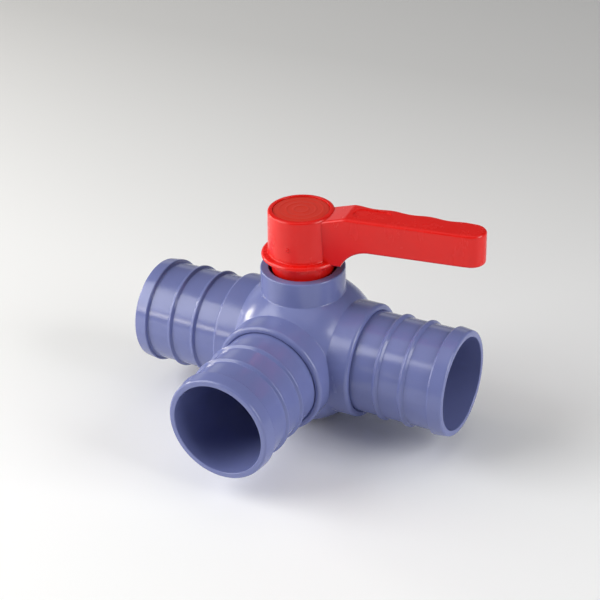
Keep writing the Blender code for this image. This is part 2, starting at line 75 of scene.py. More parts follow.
CAVITY_RADIUS = 21.6 * MM
COLLAR_RADIUS = 20.8 * MM
COLLAR_END = 27.4 * MM
COLLAR_ROUNDING = 1.3 * MM
COLLAR_LIP = 0.35 * MM              # rounding of a collar's mouth
LIP_SPAN = (radians(165), radians(100))
LIP_STEPS = 4
LIP_CLEARANCE = 0.1 * MM
COLLAR_ROOT = 17.0 * MM             # hidden end of a collar, inside the wall of the sphere
JOINT_FILLET = 0.35 * MM            # where a collar or the neck meets the sphere
FILLET_DIP = 0.01 * MM              # the fillet ends this far under the sphere
SOCKET_DEPTH_AT = 20.2 * MM
SOCKET_GAP = 0.02 * MM
SOCKET_FLARE = 0.22 * MM
SOCKET_FLARE_DEPTH = 0.45 * MM
PORT_RADIUS = 12.6 * MM
NECK_RADIUS = 15.2 * MM
NECK_BORE_RADIUS = 12.2 * MM
NECK_FLOOR = 28.4 * MM
NECK_FILLET = 0.55 * MM

TAIL_RADIUS = 18.4 * MM
TAIL_BORE_RADIUS = 16.8 * MM
BARB_RADIUS = 19.35 * MM
BARB_LAND = 0.4 * MM                # half the width of a barb's crest
BARB_FOOT = 1.1 * MM                # half the width of a barb at its foot
BARB_ROUNDING = 0.5 * MM
BARB_FILLET = 0.3 * MM
BARBS = (46.85 * MM, 37.05 * MM)    # their crests
NOSE_AT = 56.8 * MM
MOUTH_RADIUS = 19.0 * MM
MOUTH_ROUNDING = 0.9 * MM
SEAM_HEIGHT = 0.03 * MM             # mould parting line along each tail
SEAM_REACH = 0.6                    # of half a facet's angle, so it takes one line of vertices

BALL_PASSAGE_RADIUS = 12.0 * MM
BALL_FLAT = 19.6 * MM
PASSAGE_STEPS = 24                  # segments in the round end of a passage
SLOT_FLOOR = 16.8 * MM
SLOT_WIDTH = 7.0 * MM
SEAT_INNER_RADIUS = 12.3 * MM
SEAT_OUTER_RADIUS = 14.9 * MM
SEAT_BACK = 18.4 * MM
SEAT_POCKET_RADIUS = SEAT_OUTER_RADIUS + FIT_GAP
SEAT_POCKET_FLOOR = SEAT_BACK + FIT_GAP
SEAT_FACE_STEPS = 8
SEAT_RING_RADIUS = 13.7 * MM
SEAT_RING_SECTION = 0.45 * MM
SEAT_GROOVE_HALF_WIDTH = 0.75 * MM
SEAT_GROOVE_FLOOR = 17.3 * MM

STEM_RADIUS = 5.6 * MM
STEM_BORE_RADIUS = 6.3 * MM
STEM_SHOULDER_RADIUS = 7.9 * MM
STEM_SHOULDER_TOP = 22.2 * MM
STEM_SHOULDER_ROUNDING = 0.3 * MM
STEM_POCKET_RADIUS = 8.4 * MM
STEM_POCKET_TOP = 23.5 * MM
STEM_ROUND_TOP = 31.5 * MM
STEM_SQUARE = 8.0 * MM
STEM_SQUARE_ROUNDING = 0.5 * MM
STEM_TOP = 44.5 * MM
STEM_GROOVES = (24.7 * MM, 27.2 * MM)
STEM_GROOVE_RADIUS = 4.4 * MM
STEM_GROOVE_HALF_WIDTH = 0.9 * MM
STEM_RING_RADIUS = 5.35 * MM
STEM_RING_SECTION = 0.65 * MM
TANG_WIDTH = 6.4 * MM
TANG_LENGTH = 15.0 * MM
TANG_BOTTOM = 17.1 * MM
TANG_ROUNDING = 0.6 * MM

FLANGE_RADIUS = 14.6 * MM
FLANGE_BOTTOM = 37.4 * MM
FLANGE_TOP = 38.9 * MM
FLANGE_FILLET = 0.4 * MM
FLANGE_ROUNDING = 1.05 * MM
HUB_RADIUS = 11.75 * MM             # at its top
HUB_FOOT_RADIUS = 12.2 * MM
HUB_TOP = 54.9 * MM
HUB_RIM_ROUNDING = 0.8 * MM
SKIRT_RADIUS = 11.1 * MM
SKIRT_STEP = 31.6 * MM
SKIRT_FOOT_RADIUS = 10.3 * MM
SKIRT_BOTTOM = 29.0 * MM
SKIRT_HOLLOW_RADIUS = 8.3 * MM
SKIRT_HOLLOW_TOP = 33.6 * MM
WELL_RADIUS = 8.6 * MM
WELL_FLOOR = 46.4 * MM
CAP_SEAT = 53.2 * MM
CAP_SEAT_RADIUS = 10.05 * MM
CAP_GAP = 0.07 * MM
CAP_TOP = 54.7 * MM
CAP_RINGS = (2.6 * MM, 5.2 * MM, 7.8 * MM)
CAP_RING_RISE = 0.06 * MM
CAP_RING_CREST = 0.25 * MM          # half the width of a ring's crest
CAP_RING_FOOT = 0.5 * MM            # half the width of a ring at its foot
CAP_RING_ROUNDING = 0.2 * MM
CAP_CLIP_WALL = 1.0 * MM
CAP_CLIP_LENGTH = 2.2 * MM

GATE_MARK_RADIUS = 0.8 * MM         # where the moulding's gate was cut off
GATE_MARK_RISE = 0.15 * MM
GATE_MARK_STEPS = 32
GATE_MARK_ANGLE = radians(-93.5)    # from the lever's own direction
GATE_MARK_HEIGHT = 44.2 * MM

LEVER_REACH = 66.4 * MM
LEVER_ROOT_AT = 15.0 * MM
LEVER_ROOT_HALF_WIDTH = 6.5 * MM
LEVER_TIP_HALF_WIDTH = 5.05 * MM
LEVER_START = 11.1 * MM             # the lever's hidden end, inside the wall of the hub
LEVER_BURIED = 8.0 * MM             # where the bar begins before its root is cut
LEVER_BOTTOM = 44.2 * MM
LEVER_RAMP_START = 10.0 * MM
LEVER_RAMP_LOW = 54.2 * MM
LEVER_CREST = 18.0 * MM
LEVER_CREST_ROUNDING = 3.0 * MM
LEVER_EDGE = 1.0 * MM               # rounding of the upper and lower edges
LEVER_EDGE_STEPS = 4
LEVER_TIP_STEPS = 24
LEVER_STATION_GAP = 0.05 * MM       # an outline point nearer than this to the last is skipped
FOOT_ARC = 11.5 * MM                # hollow under the lever's root, down to the flange
FOOT_ARC_AT = 26.8 * MM
FOOT_ARC_STEPS = 20
FOOT_LIFT = 0.1 * MM                # the lever's foot ends this far above the flange's underside
GRIP_DEPTH = 0.8 * MM
GRIP_PITCH = 13.3 * MM
GRIP_FIRST_CREST = 18.7 * MM
GRIP_COUNT = 3
GRIP_STEPS = 60                     # stations along the scallops
LEVER_WALL = 2.2 * MM
LEVER_POCKETS = ((24.5 * MM, 37.5 * MM), (39.3 * MM, 50.5 * MM), (52.3 * MM, 63.2 * MM))
LEVER_POCKET_ROUNDING = 1.2 * MM

LEVER_PANEL = (19.5 * MM, 33.0 * MM)
LEVER_PANEL_HALF_WIDTH = 3.4 * MM
LEVER_PANEL_DEPTH = 0.2 * MM
LEVER_PANEL_END = 0.2 * MM          # half the straight part of each end

SCREW_HOLE_RADIUS = 2.1 * MM
WASHER_RADIUS = 4.7 * MM
WASHER_THICKNESS = 0.8 * MM
SCREW_HEAD_RADIUS = 3.9 * MM
SCREW_HEAD_HEIGHT = 2.4 * MM
SCREW_HEAD_ROUNDING = 1.4 * MM
SCREW_END = 34.5 * MM
THREAD_PITCH = 0.8 * MM
THREAD_DEPTH = 0.25 * MM
THREAD_CREST = 0.25                 # place in each turn, as a share of the pitch
THREAD_ROOT = 0.6
CROSS_HALF_LENGTH = 2.2 * MM
CROSS_HALF_WIDTH = 0.5 * MM
CROSS_DEPTH = 1.3 * MM

STOP_RIB = (54, 186)                # degrees round the neck, from +X towards +Y
STOP_LUG = (-82, -38)               # degrees round the skirt, from the lever's own direction
STOP_BOTTOM = 29.3 * MM
STOP_TOP = 31.2 * MM
STOP_STEPS = 24                     # segments along the rib or the lug

PORTS = {"right": 0.0, "left": pi, "front": -pi / 2}
SEATS = {**PORTS, "rear": pi / 2}


# ---- profiles ----------------------------------------------------------------------------------
def arc(centre, radius, start, end, steps=ARC_STEPS):
    """Points round a centre, angles in radians from the profile's outward direction."""
    return [(centre[0] + radius * cos(start + (end - start) * i / steps),
             centre[1] + radius * sin(start + (end - start) * i / steps)) for i in range(steps + 1)]


def rounded(corners, closed=True, steps=ARC_STEPS):
    """Turn each corner (x, y, rounding) of an outline into an arc of that radius."""
    points = []
    last = len(corners) - 1
    for i, (x, y, rounding) in enumerate(corners):
        here = Vector((x, y))
        if rounding == 0 or (not closed and i in (0, last)):
            points.append((x, y))
            continue
        before = (Vector(corners[i - 1][:2]) - here).normalized()
        after = (Vector(corners[(i + 1) % len(corners)][:2]) - here).normalized()
        half = acos(max(-1.0, min(1.0, before.dot(after)))) / 2
        middle = here + (before + after).normalized() * (rounding / sin(half))
        first = here + before * (rounding / tan(half)) - middle
        final = here + after * (rounding / tan(half)) - middle
        start = atan2(first.y, first.x)
        sweep = (atan2(final.y, final.x) - start + pi) % (2 * pi) - pi
        points += arc(middle, rounding, start, start + sweep, steps)
    return points


# ---- meshes ------------------------------------------------------------------------------------
def make_object(name, data):
    made = bpy.data.objects.new(name, data)
    bpy.context.scene.collection.objects.link(made)
    return made


def finish_mesh(name, shape):
    bmesh.ops.remove_doubles(shape, verts=shape.verts, dist=TOUCHING)
    bmesh.ops.recalc_face_normals(shape, faces=shape.faces)
    mesh = bpy.data.meshes.new(name)
    shape.to_mesh(mesh)
    shape.free()
    return make_object(name, mesh)


def turned(name, profile, steps=FINE_STEPS, closed=True, start=0.0, bulge=None):
    """Spin (radius, height) points about Z. An open profile begins and ends on the axis.

    bulge(angle, radius, height) gives a radius to use instead, for what isn't quite round.
    """
    shape = bmesh.new()
    rings = []
    for radius, height in profile:
        if radius == 0:
            rings.append([shape.verts.new((0, 0, height))] * steps)
            continue
        ring = []
        for i in range(steps):
            angle = start + 2 * pi * i / steps
            reach = bulge(angle, radius, height) if bulge else radius
            ring.append(shape.verts.new((reach * cos(angle), reach * sin(angle), height)))
        rings.append(ring)
    pairs = list(zip(rings, rings[1:]))
    if closed:
        pairs.append((rings[-1], rings[0]))
    for upper, lower in pairs:
        for i in range(steps):
            j = (i + 1) % steps
            corners = list(dict.fromkeys((upper[i], lower[i], lower[j], upper[j])))
            if len(corners) > 2:
                shape.faces.new(corners)
    return finish_mesh(name, shape)


def prism(name, outline, low, high):
    """Extrude an outline in XY between two heights."""
    shape = bmesh.new()
    base = shape.faces.new([shape.verts.new((x, y, low)) for x, y in outline])
    raised = bmesh.ops.extrude_face_region(shape, geom=[base])["geom"]
    bmesh.ops.translate(shape, vec=(0, 0, high - low),
                        verts=[v for v in raised if isinstance(v, bmesh.types.BMVert)])
    return finish_mesh(name, shape)


def block(name, low, high, rounding=0.0):
    """Box with rounded upright edges."""
    corners = [(low[0], low[1], rounding), (high[0], low[1], rounding),
               (high[0], high[1], rounding), (low[0], high[1], rounding)]
    return prism(name, rounded(corners), low[2], high[2])


def ring_sector(name, inner, outer, degrees, low, high):
    """Part of an upright ring, between two angles."""
    start, end = (radians(d) for d in degrees)
    outline = arc((0, 0), outer, start, end, STOP_STEPS)
    outline += arc((0, 0), inner, end, start, STOP_STEPS)
    return prism(name, outline, low, high)


def settle(obj):
    """Replace an object's mesh by what its modifiers make of it."""
    evaluated = obj.evaluated_get(bpy.context.evaluated_depsgraph_get())
    mesh = bpy.data.meshes.new_from_object(evaluated)
    obj.modifiers.clear()
    obj.data = mesh


def combine(target, tool, operation):
    """Boolean that is applied at once and uses up its tool."""
    step = target.modifiers.new("combine", "BOOLEAN")
    step.operation = operation
    step.solver = "EXACT"
    step.object = tool
    bpy.context.view_layer.update()
    settle(target)
    bpy.data.objects.remove(tool, do_unlink=True)


def weld(mesh):
    """Join the vertices that a boolean leaves twice where its cuts meet."""
    shape = bmesh.new()
    shape.from_mesh(mesh)
    bmesh.ops.remove_doubles(shape, verts=shape.verts, dist=SPECK)
    shape.to_mesh(mesh)
    shape.free()


def lay(obj, direction):
    """Lay a piece or tool that was made about Z along the port at this angle round the stem."""
    obj.matrix_world = Euler((0, pi / 2, direction)).to_matrix().to_4x4()
    return obj


def present(obj, node, body, finish):
    """Shade, paint and place a finished piece, and tie it to the CAD."""
    mesh = obj.data
    mesh.shade_smooth()
    mesh.set_sharp_from_angle(angle=SHARP_ANGLE)
    mesh.materials.clear()
    mesh.materials.append(finish)
    normals = obj.modifiers.new("even_normals", "WEIGHTED_NORMAL")
    normals.keep_sharp = True
    normals.weight = 100
    obj.matrix_world = Matrix.Translation(CENTRE) @ obj.matrix_world
    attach(obj, body)
    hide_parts(node)


def on_stem(obj, node, finish):
    """Turn a finished piece of the stem's own train to where it rests, and place it."""
    obj.data.transform(Matrix.Rotation(REST_TURN, 4, "Z"))
    present(obj, node, "rotor", finish)


# ---- materials ---------------------------------------------------------------------------------
class Paint:
    """A Principled material, with short ways to add the nodes that drive it."""

    def __init__(self, name, **settings):
        self.material = bpy.data.materials.new(name)
        self.material.use_nodes = True
        self.tree = self.material.node_tree
        self.shader = self.tree.nodes["Principled BSDF"]
        for socket, value in settings.items():
            self.shader.inputs[socket.replace("_", " ")].default_value = value
        self.place = self.tree.nodes.new("ShaderNodeTexCoord").outputs["Object"]

    def node(self, kind, **settings):
        made = self.tree.nodes.new("ShaderNode" + kind)
        for key, value in settings.items():
            setattr(made, key, value)
        return made

    def link(self, source, target):
        self.tree.links.new(source, target)

    def noise(self, size, detail=2.0, roughness=0.5, stretch=(1, 1, 1)):
        """Noise whose lumps are about one size across."""
        mapping = self.node("Mapping")
        mapping.inputs["Scale"].default_value = [s / size for s in stretch]
        self.link(self.place, mapping.inputs["Vector"])
        made = self.node("TexNoise")
        made.inputs["Scale"].default_value = 1.0
        made.inputs["Detail"].default_value = detail
        made.inputs["Roughness"].default_value = roughness
        self.link(mapping.outputs["Vector"], made.inputs["Vector"])
        return made.outputs["Fac"]

    def remap(self, source, from_low, from_high, to_low, to_high):
        made = self.node("MapRange", clamp=True)
        for key, value in (("From Min", from_low), ("From Max", from_high),
                           ("To Min", to_low), ("To Max", to_high)):
            made.inputs[key].default_value = value
        self.link(source, made.inputs["Value"])
        return made.outputs["Result"]

    def spread(self, noise, low, high):
        """Stretch the middle of a noise, where nearly all of it lies, from low to high."""
        return self.remap(noise, 0.3, 0.7, low, high)

    def mix(self, factor, first, second):
        """Mix two colours, each a colour or a socket, by a number or a socket."""
        made = self.node("Mix", data_type="RGBA")
        colours = [s for s in made.inputs if s.type == "RGBA"]
        for socket, value in zip(colours, (first, second)):
            if isinstance(value, bpy.types.NodeSocket):
                self.link(value, socket)
            else:
                socket.default_value = (*value, 1.0)
        if isinstance(factor, bpy.types.NodeSocket):
            self.link(factor, made.inputs[0])
        else:
            made.inputs[0].default_value = factor
        return [s for s in made.outputs if s.type == "RGBA"][0]

    def bump(self, height, strength, distance, normal=None):
        made = self.node("Bump")
        made.inputs["Strength"].default_value = strength
        made.inputs["Distance"].default_value = distance
        self.link(height, made.inputs["Height"])
        if normal is not None:
            self.link(normal, made.inputs["Normal"])
        return made.outputs["Normal"]

    def drive(self, socket, source):
        self.link(source, self.shader.inputs[socket])


def shade(colour, factor):
    """Make a colour lighter or darker."""
    return tuple(c * factor for c in colour)


def moulded_plastic(name, colour, gloss, **settings):
    """Injection-moulded plastic: cloudy pigment, fine grain, hand marks and faint flow waves."""
    paint = Paint(name, **settings)
    cloud = paint.spread(paint.noise(11 * MM, 3.0), 0, 1)
    base = paint.mix(cloud, shade(colour, 0.96), shade(colour, 1.04))
    grain = paint.noise(0.32 * MM, 2.0)
    mottled = paint.mix(paint.spread(grain, 0, 1), shade(colour, 0.97), shade(colour, 1.03))
    paint.drive("Base Color", paint.mix(0.35, base, mottled))
    smears = paint.noise(6 * MM, 4.0, 0.6, stretch=(1, 1, 0.35))
    paint.drive("Roughness", paint.spread(smears, gloss - 0.04, gloss + 0.07))
    waves = paint.bump(paint.noise(12 * MM, 1.0), 0.25, 0.10 * MM)
    paint.drive("Normal", paint.bump(grain, 0.06, 0.005 * MM, waves))
    return paint.material


def waxy_plastic(name, colour):
    """Seat polymer: soft, slightly marbled, with fine turning marks."""
    paint = Paint(name, Subsurface_Weight=0.08, Subsurface_Radius=(0.002, 0.002, 0.0015))
    marble = paint.remap(paint.noise(4 * MM, 4.0, 0.6), 0.35, 0.65, 0, 1)
    paint.drive("Base Color", paint.mix(marble, shade(colour, 0.94), colour))
    paint.drive("Roughness", paint.spread(paint.noise(1 * MM), 0.38, 0.5))
    marks = paint.noise(0.25 * MM, 1.0, stretch=(0.05, 0.05, 1))
    paint.drive("Normal", paint.bump(marks, 0.2, 0.01 * MM))
    return paint.material


def seal_rubber(name):
    """Black rubber with a faint grey bloom."""
    paint = Paint(name, Specular_IOR_Level=0.35)
    bloom = paint.remap(paint.noise(1.5 * MM, 4.0, 0.65), 0.45, 0.75, 0, 1)
    paint.drive("Base Color", paint.mix(bloom, (0.014, 0.014, 0.015), (0.045, 0.045, 0.047)))
    paint.drive("Roughness", paint.remap(bloom, 0, 1, 0.45, 0.7))
    paint.drive("Normal", paint.bump(paint.noise(0.15 * MM), 0.3, 0.01 * MM))
    return paint.material


def stainless(name):
    """Turned stainless steel, with fine marks round its axis."""
    paint = Paint(name, Metallic=1.0)
    marks = paint.noise(0.12 * MM, 2.0, stretch=(0.1, 0.1, 1))
    paint.drive("Base Color", paint.mix(marks, (0.50, 0.49, 0.47), (0.66, 0.65, 0.63)))
    paint.drive("Roughness", paint.spread(paint.noise(2 * MM, 3.0), 0.2, 0.36))
    paint.drive("Normal", paint.bump(marks, 0.25, 0.008 * MM))
    return paint.material


# The blue and the reds were set by comparing renders with the photograph. The rest is guessed.
BLUE_PVC = (0.158, 0.184, 0.402)
RED = (0.72, 0.009, 0.006)
CAP_RED = (0.62, 0.022, 0.008)
WHITE_PVC = (0.72, 0.72, 0.70)
SEAT_WHITE = (0.82, 0.81, 0.77)

body_paint = moulded_plastic("body_pvc", BLUE_PVC, 0.21)
tail_paint = moulded_plastic("tail_pvc", BLUE_PVC, 0.17)
handle_paint = moulded_plastic("handle_red", RED, 0.24, Specular_IOR_Level=0.4)
cap_paint = moulded_plastic("cap_red", CAP_RED, 0.40)
ball_paint = moulded_plastic("ball_pvc", WHITE_PVC, 0.2)
stem_paint = moulded_plastic("stem_pvc", WHITE_PVC, 0.3)
seat_paint = waxy_plastic("seat_polymer", SEAT_WHITE)
rubber_paint = seal_rubber("seal_rubber")
steel_paint = stainless("fixing_steel")


# ---- body --------------------------------------------------------------------------------------
def sphere_tangent(cylinder_radius, fillet, sphere_radius):
    """Centre of the fillet between a cylinder and a sphere on one axis, and its angle there."""
    across = cylinder_radius + fillet
    along = sqrt((sphere_radius + fillet) ** 2 - across ** 2)
    return (across, along), atan2(along, across)


def shell_profile():
    """Neck, sphere and the hollow inside them, from the cavity's lowest point to the outside's."""
    pocket_angle = acos(STEM_POCKET_RADIUS / CAVITY_RADIUS)
    inside = arc((0, 0), CAVITY_RADIUS, -pi / 2, pocket_angle, SPHERE_STEPS)
    inside[0] = (0, -CAVITY_RADIUS)
    stem_hole = rounded([(*inside[-1], 0), (STEM_POCKET_RADIUS, STEM_POCKET_TOP, 0.2 * MM),
                         (STEM_BORE_RADIUS, STEM_POCKET_TOP, 0.2 * MM),
                         (STEM_BORE_RADIUS, NECK_FLOOR, 0.3 * MM),
                         (NECK_BORE_RADIUS, NECK_FLOOR, 0.4 * MM),
                         (NECK_BORE_RADIUS, NECK_TOP, 0.35 * MM),
                         (NECK_RADIUS, NECK_TOP, 0.5 * MM),
                         (NECK_RADIUS, BODY_RADIUS, 0)], closed=False)[1:-1]
    centre, angle = sphere_tangent(NECK_RADIUS, NECK_FILLET, BODY_RADIUS)
    fillet = arc(centre, NECK_FILLET, pi, pi + angle)
    outside = arc((0, 0), BODY_RADIUS, angle, -pi / 2, SPHERE_STEPS)[1:]
    outside[-1] = (0, -BODY_RADIUS)
    return inside + stem_hole + fillet + outside


def collar(name):
    """Ring round a tail's socket, with a small fillet where it grows out of the sphere."""
    under = BODY_RADIUS - FILLET_DIP
    centre, angle = sphere_tangent(COLLAR_RADIUS, JOINT_FILLET, under)
    outer = rounded([(SEAT_OUTER_RADIUS, COLLAR_END, 0),
                     (COLLAR_RADIUS, COLLAR_END, COLLAR_ROUNDING),
                     (COLLAR_RADIUS, centre[1], 0)], closed=False)[:-1]
    fillet = arc(centre, JOINT_FILLET, pi, pi + angle)
    buried = [(COLLAR_RADIUS - FIT_GAP, COLLAR_ROOT), (SEAT_OUTER_RADIUS + MM, COLLAR_ROOT)]
    return turned(name, outer + fillet + buried)


def port_cutter(name):
    """Socket with a flared mouth, port, and the pocket of the seat behind it."""
    socket = TAIL_RADIUS + SOCKET_GAP
    lip_centre = (socket + SOCKET_FLARE + COLLAR_LIP, COLLAR_END - COLLAR_LIP)
    widest = lip_centre[0] + MM
    profile = [(0, COLLAR_END + PAST), (widest, COLLAR_END + PAST),
               (widest, COLLAR_END + LIP_CLEARANCE)]
    profile += arc(lip_centre, COLLAR_LIP, *LIP_SPAN, LIP_STEPS)[::-1]
    profile += [(socket, COLLAR_END - SOCKET_FLARE_DEPTH), (socket, SOCKET_DEPTH_AT),
                (PORT_RADIUS, SOCKET_DEPTH_AT), (PORT_RADIUS, SEAT_POCKET_FLOOR),
                (SEAT_POCKET_RADIUS, SEAT_POCKET_FLOOR), (SEAT_POCKET_RADIUS, PORT_RADIUS),
                (0, PORT_RADIUS)]
    return turned(name, profile, closed=False, start=pi / FINE_STEPS)


def make_body():
    """Shell, collars, ports, the rear seat's blind pocket and the rib that stops the handle."""
    body = turned("body_moulding", shell_profile(), closed=False)
    for side, direction in PORTS.items():
        combine(body, lay(collar("collar_" + side), direction), "UNION")
    for side, direction in PORTS.items():
        combine(body, lay(port_cutter("port_" + side), direction), "DIFFERENCE")
    profile = [(0, SEAT_POCKET_FLOOR), (SEAT_POCKET_RADIUS, SEAT_POCKET_FLOOR),
               (SEAT_POCKET_RADIUS, PORT_RADIUS), (0, PORT_RADIUS)]
    pocket = turned("rear_pocket", profile, closed=False, start=pi / FINE_STEPS)
    combine(body, lay(pocket, SEATS["rear"]), "DIFFERENCE")
    rib = ring_sector("stop_rib", SKIRT_FOOT_RADIUS + 2 * FIT_GAP, NECK_BORE_RADIUS + 3 * FIT_GAP,
                      STOP_RIB, NECK_FLOOR - 3 * FIT_GAP, STOP_TOP)
    combine(body, rib, "UNION")
    weld(body.data)
    present(body, "valve_body", "housing", body_paint)


# ---- hose tails --------------------------------------------------------------------------------
def tail_profile():
    """Section of a tail, from its mouth to the end that is glued into the body."""
    inner_end = SOCKET_DEPTH_AT + FIT_GAP
    corners = [(TAIL_BORE_RADIUS, TAIL_END, 0.3 * MM), (MOUTH_RADIUS, TAIL_END, MOUTH_ROUNDING),
               (NOSE_RADIUS, NOSE_AT, 0.5 * MM), (TAIL_RADIUS, NOSE_AT, 0.4 * MM)]
    for crest in BARBS:
        corners += [(TAIL_RADIUS, crest + BARB_FOOT, BARB_FILLET),
                    (BARB_RADIUS, crest + BARB_LAND, BARB_ROUNDING),
                    (BARB_RADIUS, crest - BARB_LAND, BARB_ROUNDING),
                    (TAIL_RADIUS, crest - BARB_FOOT, BARB_FILLET)]
    corners += [(TAIL_RADIUS, inner_end, 0.3 * MM), (TAIL_BORE_RADIUS, inner_end, 0.3 * MM)]
    return rounded(corners)


def parting_line(angle, radius, height):
    """Lifts one line of vertices on each side of a tail, where the mould's halves met."""
    on_seam = abs(cos(angle)) < sin(SEAM_REACH * pi / FINE_STEPS)
    outside = radius > TAIL_RADIUS - 0.1 * MM and height < TAIL_END - MOUTH_ROUNDING
    return radius + SEAM_HEIGHT if on_seam and outside and height > COLLAR_END else radius


def make_tails():
    for side, direction in PORTS.items():
        tail = turned("tail_%s_moulding" % side, tail_profile(), bulge=parting_line)
        present(lay(tail, direction), "hose_tail_" + side, "housing", tail_paint)


# ---- seats, seals, ball and stem ---------------------------------------------------------------
def round_section(radius, section, height, sides=20):
    """Section of an O-ring."""
    return [(radius + section * cos(2 * pi * i / sides),
             height + section * sin(2 * pi * i / sides)) for i in range(sides)]


def seat_profile():
    """Section of a seat: a face that fits the ball, and a groove for its O-ring at the back."""
    face = BALL_RADIUS + FIT_GAP
    start = acos(SEAT_INNER_RADIUS / face)
    end = acos(SEAT_OUTER_RADIUS / face)
    front = [(SEAT_OUTER_RADIUS, face * sin(end))]
    front += arc((0, 0), face, end, start, SEAT_FACE_STEPS)[1:]
    groove_outer = SEAT_RING_RADIUS + SEAT_GROOVE_HALF_WIDTH
    groove_inner = SEAT_RING_RADIUS - SEAT_GROOVE_HALF_WIDTH
    back = [(SEAT_INNER_RADIUS, SEAT_BACK, 0.2 * MM), (groove_inner, SEAT_BACK, 0.1 * MM),
            (groove_inner, SEAT_GROOVE_FLOOR, 0.15 * MM),
            (groove_outer, SEAT_GROOVE_FLOOR, 0.15 * MM),
            (groove_outer, SEAT_BACK, 0.1 * MM), (SEAT_OUTER_RADIUS, SEAT_BACK, 0.15 * MM)]
    ends = [(*front[-1], 0)] + back + [(*front[0], 0)]
    return front + rounded(ends, closed=False, steps=3)[1:-1]


def make_seats():
    ring_at = (SEAT_GROOVE_FLOOR + SEAT_BACK + FIT_GAP) / 2
    for side, direction in SEATS.items():
        seat = turned("seat_%s_ring" % side, seat_profile(), SMALL_STEPS)
        present(lay(seat, direction), "ball_seat_" + side, "housing", seat_paint)
        section = round_section(SEAT_RING_RADIUS, SEAT_RING_SECTION, ring_at)
        seal = turned("seat_%s_seal" % side, section, SMALL_STEPS)
        present(lay(seal, direction), "seat_oring_" + side, "housing", rubber_paint)


def washer_profile(inner, outer, bottom, top, rounding):
    return rounded([(outer, top, rounding), (outer, bottom, rounding),
                    (inner, bottom, rounding), (inner, top, rounding)], steps=3)


def make_thrust_washer():
    profile = washer_profile(STEM_RADIUS + FIT_GAP, STEM_SHOULDER_RADIUS,
                             STEM_SHOULDER_TOP + FIT_GAP, STEM_POCKET_TOP - FIT_GAP, 0.15 * MM)
    washer = turned("thrust_washer", profile, SMALL_STEPS)
    present(washer, "stem_thrust_washer", "housing", seat_paint)


def make_ball():
    """Polished ball with two passages at a right angle and a slot for the stem."""
    flat_angle = acos(sqrt(BALL_RADIUS ** 2 - BALL_FLAT ** 2) / BALL_RADIUS)
    profile = [(0, BALL_FLAT)] + arc((0, 0), BALL_RADIUS, flat_angle, -pi / 2, SPHERE_STEPS)
    profile[-1] = (0, -BALL_RADIUS)
    ball = turned("ball_body", profile, closed=False)
    for side in ("right", "front"):
        bore = [(0, BALL_RADIUS + PAST), (BALL_PASSAGE_RADIUS, BALL_RADIUS + PAST)]
        bore += arc((0, 0), BALL_PASSAGE_RADIUS, 0, -pi / 2, PASSAGE_STEPS)
        bore[-1] = (0, -BALL_PASSAGE_RADIUS)
        passage = turned("passage_" + side, bore, closed=False, start=pi / FINE_STEPS)
        combine(ball, lay(passage, PORTS[side]), "DIFFERENCE")
    slot = block("slot", (-BALL_RADIUS, -SLOT_WIDTH / 2, SLOT_FLOOR),
                 (BALL_RADIUS, SLOT_WIDTH / 2, BALL_RADIUS + PAST))
    combine(ball, slot, "DIFFERENCE")
    on_stem(ball, "ball", ball_paint)


def stem_profile():
    shoulder_bottom = BALL_FLAT + FIT_GAP
    corners = [(0, STEM_ROUND_TOP, 0), (STEM_RADIUS, STEM_ROUND_TOP, 0.4 * MM)]
    for height in reversed(STEM_GROOVES):
        upper = height + STEM_GROOVE_HALF_WIDTH
        lower = height - STEM_GROOVE_HALF_WIDTH
        corners += [(STEM_RADIUS, upper, 0.12 * MM), (STEM_GROOVE_RADIUS, upper, 0.2 * MM),
                    (STEM_GROOVE_RADIUS, lower, 0.2 * MM), (STEM_RADIUS, lower, 0.12 * MM)]
    corners += [(STEM_RADIUS, STEM_SHOULDER_TOP, STEM_SHOULDER_ROUNDING),
                (STEM_SHOULDER_RADIUS, STEM_SHOULDER_TOP, STEM_SHOULDER_ROUNDING),
                (STEM_SHOULDER_RADIUS, shoulder_bottom, STEM_SHOULDER_ROUNDING),
                (0, shoulder_bottom, 0)]
    return rounded(corners, closed=False, steps=3)


def make_stem():
    """Stem with a tang in the ball's slot, a square for the handle, and its two O-rings."""
    stem = turned("stem_body", stem_profile(), SMALL_STEPS, closed=False)
    half = STEM_SQUARE / 2
    square = block("square", (-half, -half, STEM_ROUND_TOP - PAST / 2), (half, half, STEM_TOP),
                   STEM_SQUARE_ROUNDING)
    tang = block("tang", (-TANG_LENGTH / 2, -TANG_WIDTH / 2, TANG_BOTTOM),
                 (TANG_LENGTH / 2, TANG_WIDTH / 2, STEM_SHOULDER_TOP - FIT_GAP), TANG_ROUNDING)
    hole = turned("hole", [(0, STEM_TOP + PAST), (SCREW_HOLE_RADIUS, STEM_TOP + PAST),
                           (SCREW_HOLE_RADIUS, STEM_ROUND_TOP), (0, STEM_ROUND_TOP)],
                  SMALL_STEPS, closed=False, start=pi / SMALL_STEPS)
    for tool, operation in ((square, "UNION"), (tang, "UNION"), (hole, "DIFFERENCE")):
        combine(stem, tool, operation)
    weld(stem.data)
    on_stem(stem, "stem", stem_paint)
    for label, height in zip(("lower", "upper"), STEM_GROOVES):
        section = round_section(STEM_RING_RADIUS, STEM_RING_SECTION, height)
        seal = turned("stem_%s_seal" % label, section, SMALL_STEPS)
        on_stem(seal, "stem_oring_" + label, rubber_paint)


# ---- handle ------------------------------------------------------------------------------------
def half_width(reach):
    """Half the lever's width, this far from the stem's axis."""
    share = (reach - LEVER_ROOT_AT) / (LEVER_REACH - LEVER_ROOT_AT)
    return LEVER_ROOT_HALF_WIDTH + share * (LEVER_TIP_HALF_WIDTH - LEVER_ROOT_HALF_WIDTH)


